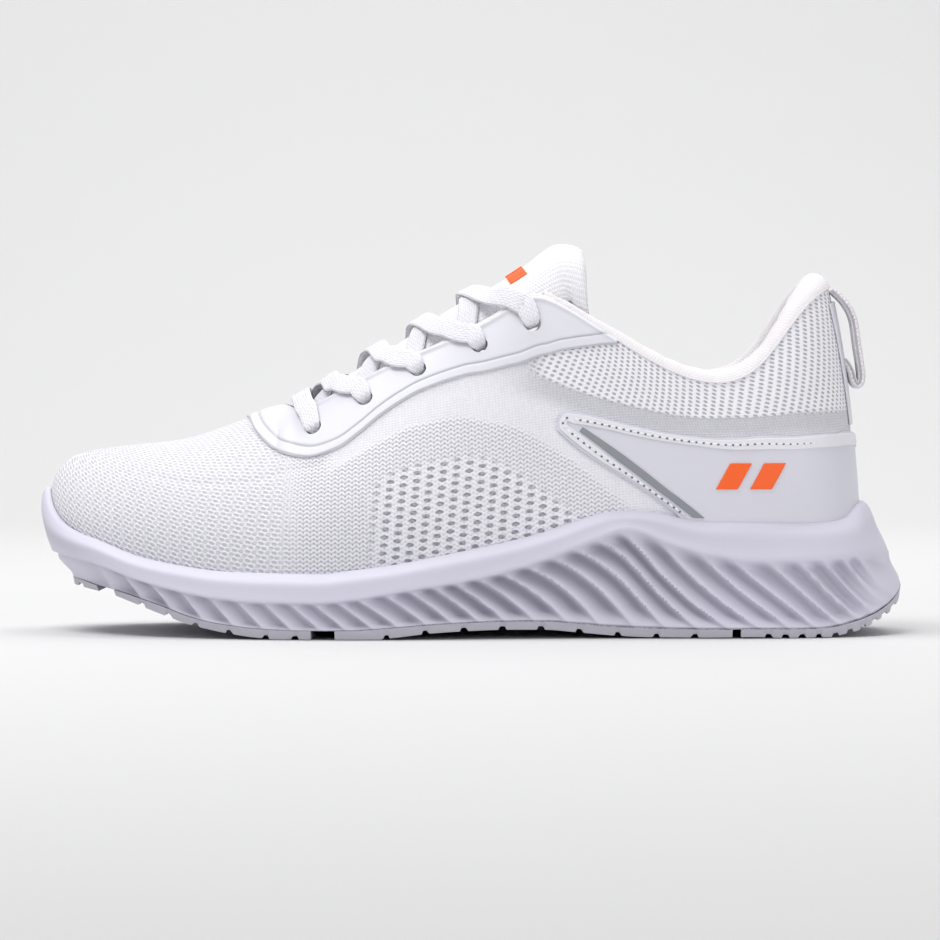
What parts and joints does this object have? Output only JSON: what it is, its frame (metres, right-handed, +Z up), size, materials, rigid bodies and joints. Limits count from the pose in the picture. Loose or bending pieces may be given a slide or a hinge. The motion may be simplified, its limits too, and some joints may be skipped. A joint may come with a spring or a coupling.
{
  "type": "running shoe",
  "caption": "White knit running shoe with a ribbed foam midsole, flat laces, padded collar and tongue, heel loop and smooth heel overlay.",
  "frame": {"origin": "centre of the bounding box on the ground plane, under the middle of the sole", "axes": "-X points to the toe, +X to the heel, -Y to the lateral (outer) side of this left shoe, +Y to the medial side, +Z up"},
  "size_m": [0.2868, 0.1042, 0.13],
  "materials": {
    "synthetic": "smooth film",
    "lining": "brushed knit",
    "foam": "open cell foam",
    "backing": "non-woven",
    "board": "matt",
    "accent": "satin print",
    "webbing": "flat webbing",
    "insole_cloth": "knit cloth",
    "knit": "engineered knit",
    "aglet": "clear gloss",
    "midsole_foam": "moulded foam, satin",
    "outsole_rubber": "matt rubber",
    "trim_film": "smooth film",
    "stripe": "satin reflective film",
    "lace": "flat woven",
    "tongue_knit": "fine knit"
  },
  "bodies": {
    "shoe": {"backstay_strip": "synthetic", "collar_binding": "lining", "collar_foam": "foam", "collar_lining": "lining", "eyestay_backing": "backing", "eyestay_overlay": "synthetic", "heel_counter": "board", "heel_emblem": "accent", "heel_overlay": "synthetic", "insole_cloth": "insole_cloth", "insole_foam": "foam", "knit_upper": "knit", "lace_aglets": "aglet", "midsole": "midsole_foam", "outsole_forefoot": "outsole_rubber", "outsole_heel": "outsole_rubber", "outsole_midfoot": "outsole_rubber", "overlay_diagonal_trim": "trim_film", "overlay_stripe": "stripe", "overlay_top_trim": "synthetic", "shoelace": "lace", "strobel_board": "backing", "tongue_face": "tongue_knit", "tongue_foam": "foam", "tongue_lining": "lining"},
    "forefoot": {"outsole_toe": "outsole_rubber", "toe_puff": "board"},
    "tongue_tip": {"tongue_print": "accent"},
    "pull_tab": {"heel_pull_tab": "webbing"}
  },
  "joints": [
    {"name": "forefoot_flex", "type": "hinge", "parent": "shoe", "child": "forefoot", "pos_m": [-0.082, 0, 0.018], "axis": [0, 1, 0], "range_deg": [0, 25], "deforming": ["midsole", "outsole_forefoot", "knit_upper", "eyestay_overlay", "eyestay_backing", "strobel_board", "insole_foam", "insole_cloth"]},
    {"name": "tongue_fold", "type": "hinge", "parent": "shoe", "child": "tongue_tip", "pos_m": [0.012, 0, 0.113], "axis": [0, -1, 0], "range_deg": [0, 35], "deforming": ["tongue_face", "tongue_foam", "tongue_lining"]},
    {"name": "pull_tab_swing", "type": "hinge", "parent": "shoe", "child": "pull_tab", "pos_m": [0.1229, 0, 0.1118], "axis": [0, -1, 0], "range_deg": [0, 60]}
  ]
}
